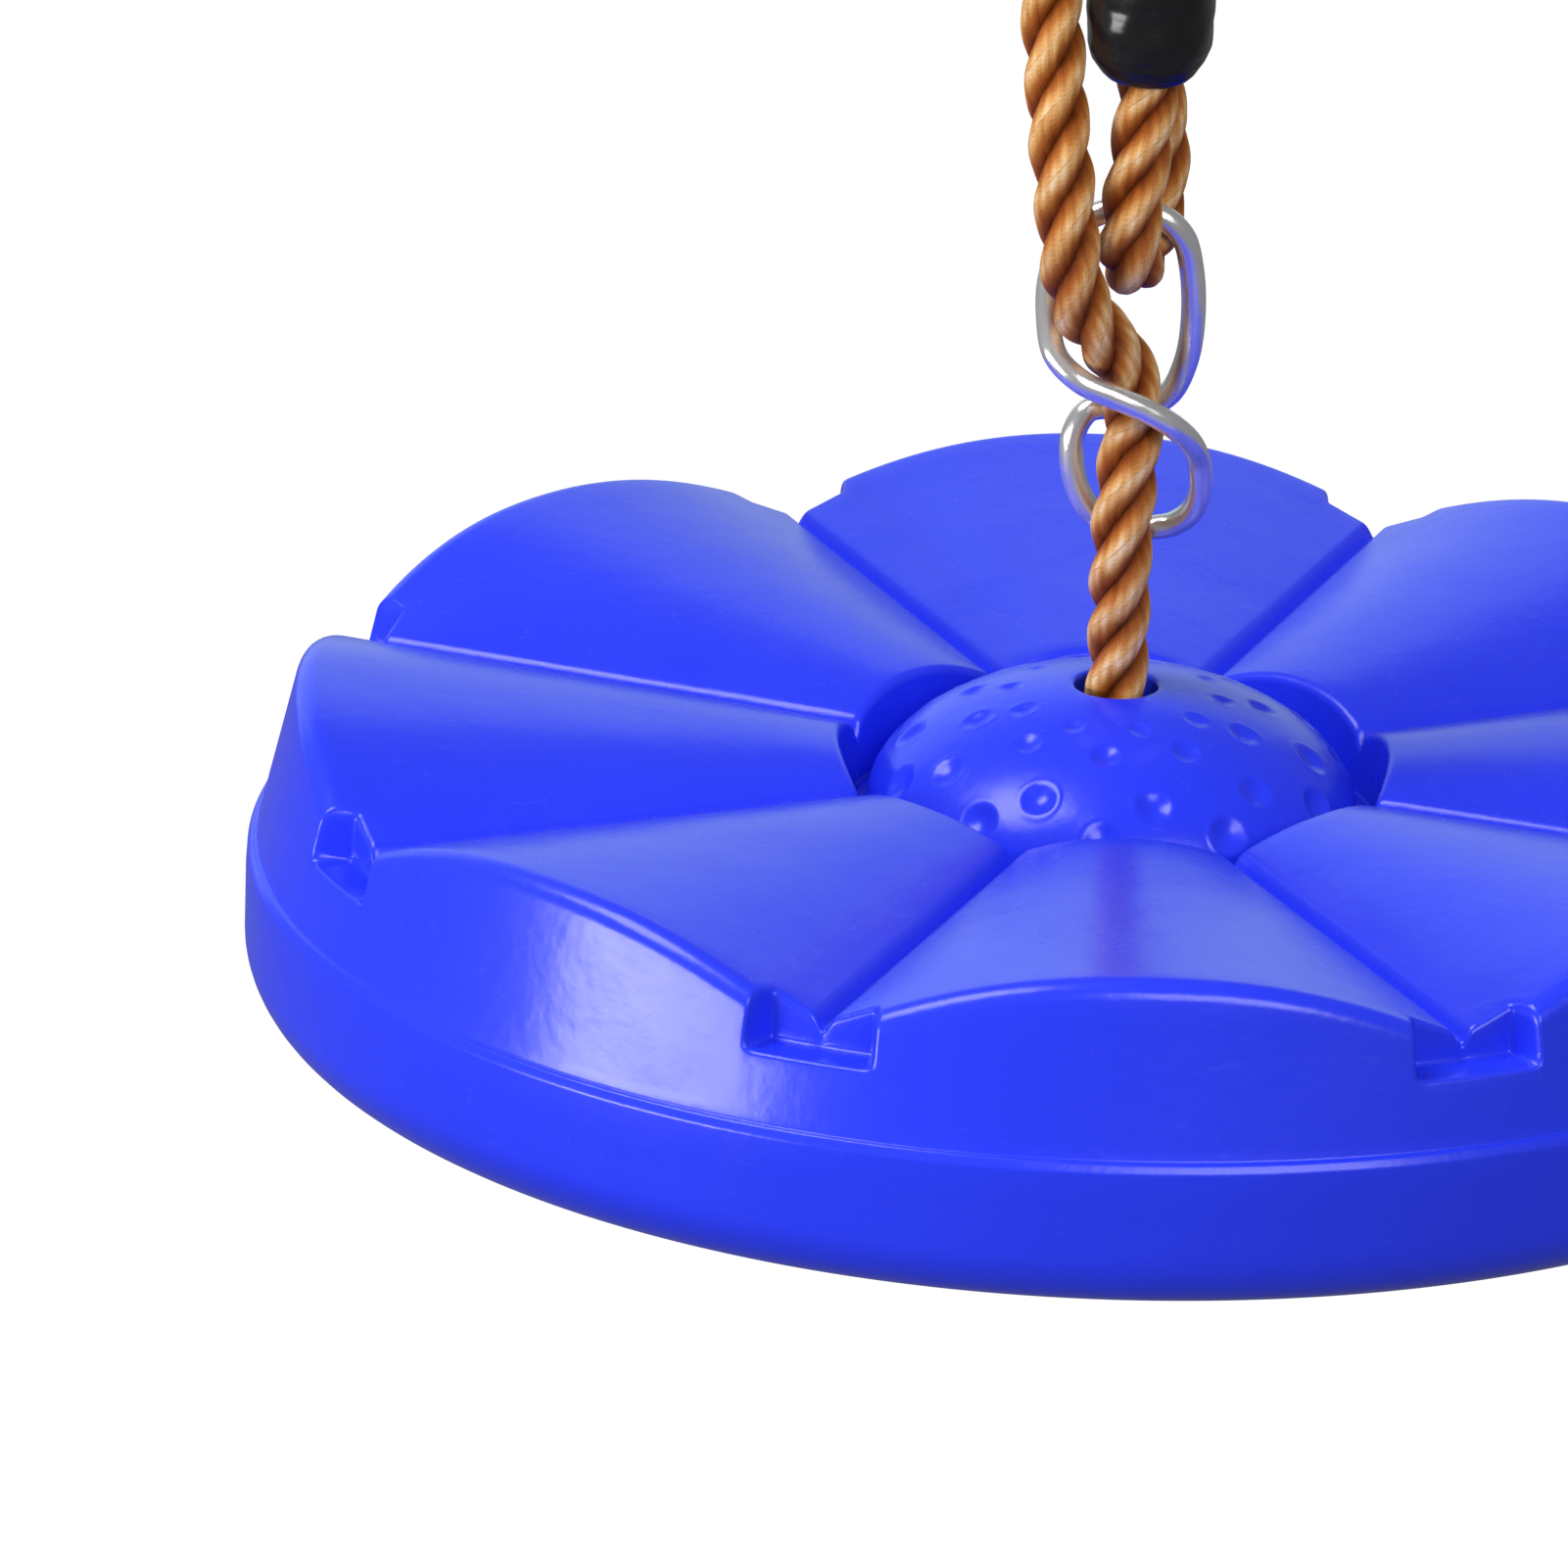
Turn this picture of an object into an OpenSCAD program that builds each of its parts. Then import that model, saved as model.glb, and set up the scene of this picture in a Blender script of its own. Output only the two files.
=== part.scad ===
// One-rope disc swing: a hollow flower-shaped plastic seat on an adjustable rope.
// Origin: the point where the hanging ring rests on its hook. +Z is up, -Y is the front.

/* [Seat] */
// Radius of the seat at its skirt
seat_r = 140; // [130:1:150]
// Number of petals on the seat
petals = 8; // [6:1:10]
// Turn of the seat about its rope at rest, in degrees
petal_turn = 3; // [0:1:20]
// Height of the moulded ledge between skirt and petals
ledge_h = 25.4; // [23:0.2:28]
// Height of the grooves between the petals
groove_h = 39.6; // [38:0.2:41]
// Rise of a petal's crest above the grooves, at the rim
crest_rise = 12.9; // [11:0.1:14]
// Wall thickness of the hollow shell
wall = 3.5; // [3:0.5:4]
// Radius of the rounded bottom edge
edge_r = 11; // [9:0.5:12]
// Radius of the dimpled dome in the middle
dome_r = 40; // [38:0.5:41]
// Outer radius of the trench round the dome
trench_r = 44; // [43:0.5:46]

/* [Rope] */
// Diameter of the rope
rope_d = 10; // [9.6:0.1:10]
// Height of the hanging point above the seat's underside
drop = 307; // [307:1:312]

/* [Fittings] */
// Wire diameter of the figure-eight adjuster
wire_d = 4; // [3.6:0.1:4]
// Wire diameter of the hanging ring
ring_wire_d = 7; // [6.4:0.1:7]
// Radius of the hanging ring at the middle of its wire
ring_r = 27.5; // [27:0.5:30]
// Inner radius of the thimble's eye
eye_r = 11; // [10.8:0.1:11.4]

/* [Hidden] */
$fn = 96;

blue = [0.20, 0.28, 0.95];
hemp = [0.72, 0.50, 0.28];
steel = [0.72, 0.73, 0.74];
black = [0.06, 0.06, 0.06];
alloy = [0.62, 0.63, 0.64];

rope_r = rope_d / 2;
end_gap = 0.02;

// Seat: every line from the middle of the crowned top out to the rim is straight.
skirt_top_h = 22.5;
shoulder_r = seat_r - 1.6;
petal_top_r = shoulder_r - 7;
petal_half = 180 / petals;
crown_ref_r = 131;
crown_power = 2.2;
crown_facets = 8;
rim_h = groove_h + crest_rise;
trench_h = 30;
dome_mid_h = 32;
dome_rise = 22.4;
notch_w = 19;
notch_r = 129;
notch_h = 36;
pocket_r = 28;
pocket_h = 24;
bore_r = 6.3;
mouth_r = 8.6;
mouth_h = 40;
plug_at_r = 80;
plug_r = 4.5;
flange_r = 7.5;
flange_h = 1.6;

// Heights above the seat's underside of what hangs over it.
foot_top_h = 38;
mouth_top_h = 50;
sleeve_h = 158;
sleeve_len = 34;
thimble_h = 249.5;
ring_h = drop - ring_r + ring_wire_d / 2;

washer_r = 17;
washer_t = 2.5;
knot_r = 13.5;
knot_h = 3;

// Groove and legs of the thimble
groove_r = eye_r + 2.4 + rope_r;
flange_top_r = groove_r + 0.6;
thimble_half = 7;
thimble_open = 20;
leg_len = 12;

// Ferrule and sleeve: two round-ended sections, each given by its radius and half its centre distance.
pair_y = 5;
ferrule_r = 7;
sleeve_r = 10.2;
sleeve_x = 1.2;
ferrule_len = 26;

// The rope from the dome's mouth to its end in the sleeve: x, y and height above the underside.
neck_route = [[0, 0, 50], [0, 0, 58], [0, -1, 67]];
through_route = [
    [0, -2.5, 76], [0, -2.5, 84], [0.5, -1.5, 92], [1, 0, 98], [0.8, -0.4, 103.5], [-0.8, -1.6, 108.5],
    [-3.2, -4.2, 113], [-6.6, -7.6, 118], [-9, -10, 124], [-10.1, -11.2, 130.5]
];
left_route = [
    [-11, -11, 137], [-12.2, -9.8, 147], [-13.6, -6.6, 160], [-15.1, -3.4, 175], [-15.8, -1, 195]
];
flex_left_route = [[-16.5, 0, 210], [-17.1, 0, 222]];
bight_start = 183;
bight_end = -15;
bight_steps = 16;
bight_route = concat(
    [[-17.8, 0, 236]],
    [
        for (k = [0 : bight_steps])
            let (a = bight_start + (bight_end - bight_start) * k / bight_steps)
                [groove_r * cos(a), 0, thimble_h + groove_r * sin(a)]
    ]);
flex_right_route = [[15.5, 0, 236], [13.4, 0, 228]];
right_route = [[10.2, 0, 216], [8.4, -0.6, 212], [5, -2.4, 204], [2.2, -4.2, 197]];
eye_route = [
    [1.2, -5, 192], [1.2, -5, 158], [0.8, -6, 150], [0.1, -7, 142], [-0.5, -7.4, 135.5],
    [-0.8, -6.6, 130.5], [-0.3, -4, 126.8], [0.2, 0, 125.4], [1.6, 4, 126.8], [2.8, 6.8, 130.5],
    [3.4, 7.4, 135.5], [3.4, 7.2, 142], [2.6, 6.2, 150], [1.2, 5, 158], [1.2, 5, 190]
];
rope_route = concat(neck_route, through_route, left_route, flex_left_route, bight_route, flex_right_route,
    right_route, eye_route);
through_at = len(neck_route);
left_at = through_at + len(through_route);
flex_left_at = left_at + len(left_route);
bight_at = flex_left_at + len(flex_left_route);
flex_right_at = bight_at + len(bight_route);
right_at = flex_right_at + len(flex_right_route);
eye_at = right_at + len(right_route);

// Route of the adjuster's wire: lower end, lower loop, front diagonal, upper loop, back diagonal, lower loop.
wire_route = [
    [4.4, 5, 79], [8, 4.5, 80], [11, 3, 82.8], [12.2, 1.4, 87], [11.8, -0.6, 92.4], [10.2, -4, 97],
    [7, -6.9, 100.8], [2.4, -8.1, 103.6], [-2.4, -8.8, 105.8], [-7.4, -9, 108], [-11.8, -6.6, 111.6],
    [-13.2, -2.8, 117], [-13.2, -0.2, 122], [-11.6, 0.4, 127.6], [-8.6, 0, 131.8], [-4.4, 0, 134],
    [0, 0, 134.4], [4.4, -0.2, 133.4], [7.8, 0.2, 130.2], [9.4, 1.4, 124.5], [10, 2.8, 116],
    [9.2, 4.4, 108], [6.6, 6.6, 101.4], [2.4, 8, 98.6], [-2.4, 8, 98.4], [-6.2, 6.8, 98],
    [-8.4, 6.2, 94.4], [-8.6, 5.8, 90], [-7.6, 5.5, 85.4], [-5, 5.2, 81.2], [-1.6, 5, 79],
    [1.4, 5, 78.6]
];

// Moves a height above the seat's underside to the frame of the hanging point.
module at_height(h) {
    translate([0, 0, h - drop]) children();
}

function unit(v) = v / norm(v);
function path_dir(p, i) = unit(p[min(i + 1, len(p) - 1)] - p[max(i - 1, 0)]);
// A side direction carried along the path from its point number first, so that the tube never twists.
function path_side(p, i, first) = i == first
    ? unit(cross(path_dir(p, first), [0.05, 1, 0.02]))
    : unit(cross(cross(path_dir(p, i), path_side(p, i - 1, first)), path_dir(p, i)));
function path_ring(p, i, first, r, sides) =
    let (side = path_side(p, i, first), up = cross(path_dir(p, i), side))
        [for (k = [0 : sides - 1]) p[i] + r * (side * cos(360 * k / sides) + up * sin(360 * k / sides))];

// A round tube swept along a route, from its point number first to its point number last. It ends a hair
// before that last point, where the next length of the same rope begins.
module tube(p, r, first, last, sides = 10) {
    rings = concat(
        [for (i = [first : last - 1]) each path_ring(p, i, first, r, sides)],
        [for (q = path_ring(p, last, first, r, sides)) q - end_gap * path_dir(p, last)]);
    skin = [
        for (i = [0 : last - first - 1], k = [0 : sides - 1])
            let (a = i * sides + k, b = i * sides + (k + 1) % sides)
                each [[a, b, b + sides], [a, b + sides, a + sides]]
    ];
    first_cap = [for (k = [1 : sides - 2]) [0, k + 1, k]];
    top = (last - first) * sides;
    last_cap = [for (k = [1 : sides - 2]) [top, top + k, top + k + 1]];
    polyhedron(points = rings, faces = concat(skin, first_cap, last_cap));
}

// Section of the seat's base, grown inwards by t for the hollow inside.
module base_section(t) {
    corner = edge_r - t;
    arc = [for (a = [-90 : 15 : 0]) [seat_r - edge_r + corner * cos(a), edge_r + corner * sin(a)]];
    polygon(concat([[0, t]], arc, [[seat_r - t, skirt_top_h], [shoulder_r - t, ledge_h], [0, ledge_h]]));
}

// Height of the crown above the grooves at the reference radius, by the turn from a petal's middle.
function crown(turn) = crest_rise * (1 - pow(abs(turn) / petal_half, crown_power));

// A solid under the petals' crowned top, lowered by t.
module crowned_block(t) {
    far = seat_r + 20;
    n = petals * crown_facets;
    step = 360 / n;
    low = ledge_h - 4;
    top = groove_h - t;
    rim = [
        for (k = [0 : n - 1])
            let (turn = (k % crown_facets) * step - petal_half)
                [far * cos(k * step - petal_half), far * sin(k * step - petal_half),
                    top + crown(turn) * far / crown_ref_r]
    ];
    foot = [for (p = rim) [p.x, p.y, low]];
    faces = [
        for (k = [0 : n - 1])
            let (m = (k + 1) % n)
                each [[2 * n, m, k], [2 * n + 1, n + k, n + m], [k, m, n + m], [k, n + m, n + k]]
    ];
    polyhedron(points = concat(rim, foot, [[0, 0, top], [0, 0, low]]), faces = faces);
}

// The ring of petals, shrunk by t, with the notches where their grooves meet the rim.
module flower(t) {
    low = ledge_h - 4;
    difference() {
        intersection() {
            crowned_block(t);
            translate([0, 0, low - 1])
                cylinder(h = rim_h + 3 - low, r1 = shoulder_r - t, r2 = petal_top_r - t);
        }
        translate([0, 0, low - 5]) cylinder(h = 60, r = trench_r + t);
        for (i = [0 : petals - 1])
            rotate([0, 0, (2 * i + 1) * petal_half])
                translate([notch_r - t, -notch_w / 2 - t, notch_h - t])
                    cube([40, notch_w + 2 * t, 40]);
    }
}

// Half section of the dome, shrunk by t.
module dome_section(t) {
    a = dome_r - t;
    b = dome_rise - t;
    low_h = pocket_h;
    low = asin((low_h - dome_mid_h) / b);
    polygon(concat(
        [for (k = [0 : 12]) let (u = low + (90 - low) * k / 12) [a * cos(u), dome_mid_h + b * sin(u)]],
        [[0, low_h]]));
}

// The space inside the blow-moulded shell.
module seat_hollow() {
    difference() {
        union() {
            rotate_extrude() base_section(wall);
            flower(wall);
            rotate_extrude() dome_section(wall);
        }
        cylinder(h = pocket_h + wall, r = pocket_r + wall);
        cylinder(h = 80, r = mouth_r + wall - 1);
    }
}

module seat_shell() {
    color(blue) at_height(0) rotate([0, 0, petal_turn - 90])
        difference() {
            union() {
                rotate_extrude() base_section(0);
                flower(0);
                cylinder(h = trench_h, r = trench_r + 1);
                rotate_extrude() dome_section(0);
            }
            seat_hollow();
            translate([0, 0, -1]) cylinder(h = pocket_h + 1, r = pocket_r);
            cylinder(h = 80, r = bore_r);
            translate([0, 0, mouth_h])
                cylinder(h = dome_mid_h + dome_rise - mouth_h + 0.5, r1 = bore_r, r2 = mouth_r);
            translate([plug_at_r, 0, -1]) cylinder(h = wall + 2, r = plug_r);
            translate([plug_at_r, 0, -1]) cylinder(h = 1 + flange_h, r = flange_r);
        }
}

module blow_hole_plug() {
    color(blue) at_height(0) rotate([0, 0, petal_turn - 90])
        translate([plug_at_r, 0, 0]) {
            translate([0, 0, 0.2]) cylinder(h = flange_h - 0.2, r = flange_r - 0.1);
            translate([0, 0, flange_h - 0.1]) cylinder(h = 4, r = plug_r - 0.05);
        }
}

module washer() {
    color(steel) at_height(pocket_h - washer_t)
        difference() {
            cylinder(h = washer_t, r = washer_r);
            translate([0, 0, -1]) cylinder(h = washer_t + 2, r = rope_r + 0.6);
        }
}

// The stopper knot under the washer, with its short tail.
module rope_knot() {
    height = pocket_h - washer_t - knot_h;
    color(hemp) at_height(knot_h) {
        rotate_extrude()
            polygon(concat([[0, 0]],
                [for (a = [-90 : 15 : 90])
                    [knot_r - height / 3 + height / 3 * cos(a), height / 2 + height / 2 * sin(a)]],
                [[0, height]]));
        translate([0, 0, rope_r + 0.5]) rotate([0, 80, 30]) cylinder(h = 24, r = rope_r);
    }
}

module rope_foot() {
    color(hemp) at_height(pocket_h - washer_t) cylinder(h = foot_top_h - pocket_h + washer_t, r = rope_r);
}

module rope_mouth() {
    color(hemp) at_height(foot_top_h) cylinder(h = mouth_top_h - foot_top_h, r = rope_r);
}

module rope_neck() {
    color(hemp) at_height(0) tube(rope_route, rope_r, 0, through_at);
}

module rope_through() {
    color(hemp) at_height(0) tube(rope_route, rope_r, through_at, left_at);
}

module rope_left() {
    color(hemp) at_height(0) tube(rope_route, rope_r, left_at, flex_left_at);
}

module rope_flex_left() {
    color(hemp) at_height(0) tube(rope_route, rope_r, flex_left_at, bight_at);
}

module rope_bight() {
    color(hemp) at_height(0) tube(rope_route, rope_r, bight_at, flex_right_at, 12);
}

module rope_flex_right() {
    color(hemp) at_height(0) tube(rope_route, rope_r, flex_right_at, right_at);
}

module rope_right() {
    color(hemp) at_height(0) tube(rope_route, rope_r, right_at, eye_at);
}

module rope_eye() {
    color(hemp) at_height(0) tube(rope_route, rope_r, eye_at, len(rope_route) - 1);
}

module adjuster_wire() {
    color(steel) at_height(0) tube(wire_route, wire_d / 2, 0, len(wire_route) - 1, 12);
}

// A bar with two round ends along Y, as a flat outline.
module pair_outline(r, y) {
    for (s = [-1, 1])
        translate([0, s * y]) circle(r = r);
    square([2 * r, 2 * y], center = true);
}

module crimp_ferrule() {
    color(alloy) at_height(sleeve_h + (sleeve_len - ferrule_len) / 2) translate([sleeve_x, 0, 0])
        linear_extrude(height = ferrule_len)
            difference() {
                pair_outline(ferrule_r, pair_y - 0.4);
                pair_outline(rope_r + 0.05, pair_y);
            }
}

module crimp_sleeve() {
    color(black) at_height(sleeve_h) translate([sleeve_x, 0, 0])
        difference() {
            hull() {
                translate([0, 0, 5])
                    linear_extrude(height = sleeve_len - 10) pair_outline(sleeve_r, 2.8, $fn = 32);
                linear_extrude(height = sleeve_len) pair_outline(sleeve_r - 3.5, 3.5, $fn = 32);
            }
            translate([0, 0, -1])
                linear_extrude(height = sleeve_len + 2)
                    pair_outline(ferrule_r + 0.05, pair_y - 0.4, $fn = 48);
        }
}

// Section of the thimble: a flanged channel that the rope lies in.
module thimble_section() {
    difference() {
        translate([eye_r, -thimble_half]) square([flange_top_r - eye_r, 2 * thimble_half]);
        translate([groove_r, 0]) circle(r = rope_r + 0.15);
    }
}

module thimble() {
    color(black) at_height(thimble_h) rotate([90, 0, 0]) {
        rotate([0, 0, -thimble_open])
            rotate_extrude(angle = 180 + 2 * thimble_open) thimble_section();
        for (side = [0, 1])
            mirror([side, 0, 0])
                rotate([0, 0, -thimble_open])
                    rotate([90, 0, 0])
                        linear_extrude(height = leg_len) thimble_section();
    }
}

module hanging_ring() {
    color(steel) at_height(ring_h) rotate([0, 90, 0])
        rotate_extrude() translate([ring_r, 0]) circle(r = ring_wire_d / 2, $fn = 32);
}

seat_shell();
blow_hole_plug();
washer();
rope_knot();
rope_foot();
rope_mouth();
rope_neck();
rope_through();
rope_left();
rope_right();
rope_flex_left();
rope_flex_right();
rope_bight();
rope_eye();
adjuster_wire();
crimp_ferrule();
crimp_sleeve();
thimble();
hanging_ring();
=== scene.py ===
import math

import bmesh
import bpy
import numpy as np
from mathutils import Matrix, Vector


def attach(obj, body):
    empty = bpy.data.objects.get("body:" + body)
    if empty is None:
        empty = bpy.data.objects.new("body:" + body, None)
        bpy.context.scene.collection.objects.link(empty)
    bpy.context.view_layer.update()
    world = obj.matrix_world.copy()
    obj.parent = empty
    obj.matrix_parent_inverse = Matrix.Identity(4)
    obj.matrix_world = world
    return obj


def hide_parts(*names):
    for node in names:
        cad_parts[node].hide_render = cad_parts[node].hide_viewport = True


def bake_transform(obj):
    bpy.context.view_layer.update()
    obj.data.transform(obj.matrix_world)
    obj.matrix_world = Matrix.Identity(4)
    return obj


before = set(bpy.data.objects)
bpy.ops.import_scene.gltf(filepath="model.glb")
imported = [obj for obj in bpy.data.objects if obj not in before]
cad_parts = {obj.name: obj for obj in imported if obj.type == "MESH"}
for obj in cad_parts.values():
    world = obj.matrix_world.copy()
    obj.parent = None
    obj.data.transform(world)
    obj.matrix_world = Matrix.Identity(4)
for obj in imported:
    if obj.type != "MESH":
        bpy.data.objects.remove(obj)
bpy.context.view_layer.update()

MM = 0.001
DROP = 307.0  # the hanging point's height above the seat's underside, in mm


def placed(points):
    """Points given in mm as x, y and the height above the seat's underside, in the frame's metres."""
    p = np.array(points, float).reshape(-1, 3).copy()
    p[:, 2] -= DROP
    return p * MM


# ---------------------------------------------------------------- camera

def make_camera():
    """A long lens that looks down on the seat, leaning a little, with the seat low on the right."""
    distance, elevation, roll = 2.404, math.radians(20.31), math.radians(2.28)
    right_by, down_by = math.radians(1.259), math.radians(0.2606)
    target = Vector((0, 0, (25 - DROP) * MM))
    forward = Vector((0, math.cos(elevation), -math.sin(elevation)))
    side = Vector((1, 0, 0))
    up = side.cross(forward)
    lean_side = side * math.cos(roll) + up * math.sin(roll)
    lean_up = up * math.cos(roll) - side * math.sin(roll)
    turned = forward * math.cos(right_by) - lean_side * math.sin(right_by)
    cam_side = lean_side * math.cos(right_by) + forward * math.sin(right_by)
    looks = turned * math.cos(down_by) + lean_up * math.sin(down_by)
    cam_up = lean_up * math.cos(down_by) - turned * math.sin(down_by)
    data = bpy.data.cameras.new("camera")
    data.sensor_width = 36
    data.lens = 340.0775
    data.clip_start, data.clip_end = 0.1, 50
    camera = bpy.data.objects.new("camera", data)
    bpy.context.scene.collection.objects.link(camera)
    rows = Matrix((cam_side, cam_up, -looks)).transposed()
    camera.matrix_world = Matrix.Translation(target - forward * distance) @ rows.to_4x4()
    bpy.context.scene.camera = camera


make_camera()


# ---------------------------------------------------------------- mesh helpers

def smooth_path(points, step):
    """Points a fixed step apart on a smooth curve, how far along it they lie, and the given ones lie."""
    p = np.array(points, float)
    p = np.vstack([2 * p[0] - p[1], p, 2 * p[-1] - p[-2]])
    t = np.linspace(0, 1, 40, endpoint=False)[:, None]
    parts = []
    for i in range(1, len(p) - 2):
        a, b, c, d = p[i - 1 : i + 3]
        u, v, w = (np.linalg.norm(q) ** 0.5 for q in (b - a, c - b, d - c))
        m = (c - b) + v * ((b - a) / u - (c - a) / (u + v))
        n = (c - b) + v * ((d - c) / w - (d - b) / (v + w))
        parts.append(
            (2 * t**3 - 3 * t**2 + 1) * b + (t**3 - 2 * t**2 + t) * m
            + (3 * t**2 - 2 * t**3) * c + (t**3 - t**2) * n
        )
    fine = np.vstack([*parts, p[-2:-1]])
    along = np.concatenate([[0], np.cumsum(np.linalg.norm(np.diff(fine, axis=0), axis=1))])
    marks = along[::40]
    s = np.linspace(0, along[-1], max(2, int(round(along[-1] / step))) + 1)
    return np.stack([np.interp(s, along, fine[:, k]) for k in range(3)], 1), s, marks


def unit_rows(v):
    """Each row of an array, scaled to length one."""
    return v / np.maximum(np.linalg.norm(v, axis=1, keepdims=True), 1e-12)


def carried_frames(points, first_side=(0.05, 1, 0.02)):
    """Tangent, side and up along a path, carried so that they never twist."""
    tangent = unit_rows(np.gradient(points, axis=0))
    side = np.zeros_like(points)
    side[0] = np.cross(tangent[0], first_side)
    side[0] /= np.linalg.norm(side[0])
    for i in range(1, len(points)):
        v = side[i - 1] - tangent[i] * (side[i - 1] @ tangent[i])
        side[i] = v / np.linalg.norm(v)
    return tangent, side, np.cross(tangent, side)


def grid_faces(rows, columns):
    """Quads of a grid of rows by columns, closed round its columns."""
    k, m = np.arange(rows - 1)[:, None], np.arange(columns)[None, :]
    n = (m + 1) % columns
    near, far = k * columns, (k + 1) * columns
    quads = np.stack([near + m, near + n, far + n, far + m], -1)
    return [tuple(q) for q in quads.reshape(-1, 4).tolist()]


def loop_faces(rows, columns):
    """Quads of a grid that is closed both round its columns and from its last row to its first."""
    base = (rows - 1) * columns
    k = np.arange(columns)
    n = (k + 1) % columns
    closing = np.stack([base + k, base + n, n, k], -1)
    return grid_faces(rows, columns) + [tuple(q) for q in closing.tolist()]


def capped_faces(rows, columns):
    """Quads of a grid that is closed round its columns, with one flat face over each end."""
    first = tuple(range(columns - 1, -1, -1))
    last = tuple(range((rows - 1) * columns, rows * columns))
    return grid_faces(rows, columns) + [first, last]


def make_mesh(name, points, faces, attributes=None):
    """A smooth shaded mesh object with its points in metres, every face of it facing outwards."""
    mesh = bpy.data.meshes.new(name)
    mesh.from_pydata(np.asarray(points, float).tolist(), [], faces)
    mesh.polygons.foreach_set("use_smooth", [True] * len(mesh.polygons))
    for key, values in (attributes or {}).items():
        values = np.asarray(values, np.float32)
        kind, field = ("FLOAT", "value") if values.ndim == 1 else ("FLOAT_VECTOR", "vector")
        mesh.attributes.new(key, kind, "POINT").data.foreach_set(field, values.ravel())
    solid = bmesh.new()
    solid.from_mesh(mesh)
    bmesh.ops.recalc_face_normals(solid, faces=solid.faces)
    for cap in (f for f in solid.faces if len(f.verts) > 4):
        cap.smooth = False
        for edge in cap.edges:
            edge.smooth = False
    solid.to_mesh(mesh)
    solid.free()
    mesh.update()
    made = bpy.data.objects.new(name, mesh)
    bpy.context.scene.collection.objects.link(made)
    return made


def arc_corner(before, corner, after, radius, count):
    """Points round a corner of a line, at the given radius."""
    a, b = before - corner, after - corner
    la, lb = np.linalg.norm(a), np.linalg.norm(b)
    if la < 1e-6 or lb < 1e-6:
        return np.repeat(corner[None], count, 0)
    a, b = a / la, b / lb
    half = math.acos(max(-1.0, min(1.0, float(a @ b)))) / 2
    if half > math.pi / 2 - 0.01:
        t = np.linspace(-1, 1, count)[:, None] * min(radius * 0.3, la * 0.45, lb * 0.45)
        return corner + np.where(t < 0, -t * a, t * b)
    reach = min(radius / math.tan(half), la * 0.49, lb * 0.49)
    r = reach * math.tan(half)
    middle = corner + unit_rows((a + b)[None])[0] * (r / math.sin(half))
    start, end = corner + a * reach - middle, corner + b * reach - middle
    turn = math.pi - 2 * half
    t = np.linspace(0, 1, count)[:, None]
    return middle + (np.sin((1 - t) * turn) * start + np.sin(t * turn) * end) / math.sin(turn)


def rounded_line(corners):
    """A line through corners given as (point, radius, points round it, points on the way to the next)."""
    p = [np.array(c[0], float) for c in corners]
    out = []
    for i, (_, radius, count, way) in enumerate(corners):
        if count <= 1:
            bend = p[i][None]
        else:
            bend = arc_corner(p[i - 1], p[i], p[(i + 1) % len(p)], radius, count)
        out.append((bend, way))
    parts = []
    for i, (bend, way) in enumerate(out):
        parts.append(bend)
        nxt = out[(i + 1) % len(out)][0][0]
        if way:
            t = np.linspace(0, 1, way + 2)[1:-1, None]
            parts.append(bend[-1] * (1 - t) + nxt * t)
    return np.vstack(parts)


def lathe(name, profile, columns=96, centre=(0, 0)):
    """A closed profile of radius and height in mm, turned about an upright axis."""
    profile = np.array(profile, float)
    a = np.linspace(0, 2 * math.pi, columns, endpoint=False)
    x = profile[:, :1] * np.cos(a) + centre[0]
    y = profile[:, :1] * np.sin(a) + centre[1]
    z = np.repeat(profile[:, 1:], columns, 1)
    points = np.stack([x, y, z], -1).reshape(-1, 3)
    return make_mesh(name, placed(points), loop_faces(len(profile), columns))


# ---------------------------------------------------------------- materials

def new_material(name, colour, roughness, metallic=0.0, specular=0.5):
    """A material with its node tree and its shader, whose plain values are set."""
    m = bpy.data.materials.new(name)
    m.use_nodes = True
    tree = m.node_tree
    shader = next(n for n in tree.nodes if n.type == "BSDF_PRINCIPLED")
    shader.inputs["Base Color"].default_value = (*colour, 1)
    shader.inputs["Roughness"].default_value = roughness
    shader.inputs["Metallic"].default_value = metallic
    shader.inputs["Specular IOR Level"].default_value = specular
    return m, tree, shader


def add(tree, kind, links=(), **values):
    """A node with its settings, and links given as (input, output socket)."""
    node = tree.nodes.new(kind)
    for key, value in values.items():
        if key in node.inputs:
            node.inputs[key].default_value = value
        else:
            setattr(node, key, value)
    for name, socket in links:
        tree.links.new(socket, node.inputs[name])
    return node


def scaled(tree, vector, scale):
    """A vector stretched by the given factors."""
    return add(tree, "ShaderNodeMapping", [("Vector", vector)], Scale=scale).outputs["Vector"]


def coordinates(tree, scale=(1, 1, 1)):
    """The object's own coordinates, stretched by the given factors."""
    return scaled(tree, add(tree, "ShaderNodeTexCoord").outputs["Object"], scale)


def carried(tree, name, output):
    """A value that the mesh carries at its points."""
    return add(tree, "ShaderNodeAttribute", attribute_name=name).outputs[output]


def ramp(tree, socket, stops):
    """A colour ramp with the given (place, colour) stops."""
    node = add(tree, "ShaderNodeValToRGB", [("Fac", socket)])
    marks = node.color_ramp.elements
    while len(marks) < len(stops):
        marks.new(0.5)
    for mark, (place, colour) in zip(marks, stops):
        mark.position = place
        mark.color = (*colour, 1)
    return node.outputs["Color"]


def above(tree, pattern, low, high):
    """Black where a pattern is under low, white where it is over high."""
    return ramp(tree, pattern, [(low, (0, 0, 0)), (high, (1, 1, 1))])


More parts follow.
